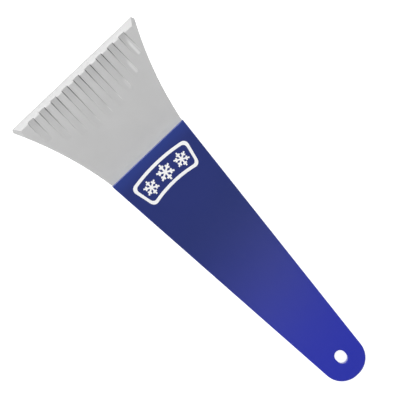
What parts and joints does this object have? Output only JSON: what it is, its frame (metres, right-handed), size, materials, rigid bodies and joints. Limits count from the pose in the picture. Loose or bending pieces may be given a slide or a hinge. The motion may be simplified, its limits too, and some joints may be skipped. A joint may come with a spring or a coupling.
{
  "type": "windshield ice scraper",
  "caption": "Hand scraper for iced car windows: flared frosted blade with a bevelled edge and ice-breaking ribs, flat tapering hollow handle with a hanging hole.",
  "frame": {"origin": "under the middle of the whole length and width, on the plane of the handle's flat back", "axes": "+Y along the handle towards the scraping edge, +X across the blade, +Z out of the ribbed and printed front"},
  "size_m": [0.1024, 0.254, 0.013],
  "materials": {
    "frosted_blade": "frosted translucent moulding",
    "blue_handle": "satin moulding",
    "white_print": "matte pad-printed ink"
  },
  "bodies": {
    "root": {"blade": "frosted_blade", "handle_back_shell": "blue_handle", "handle_front_shell": "blue_handle"}
  },
  "joints": []
}
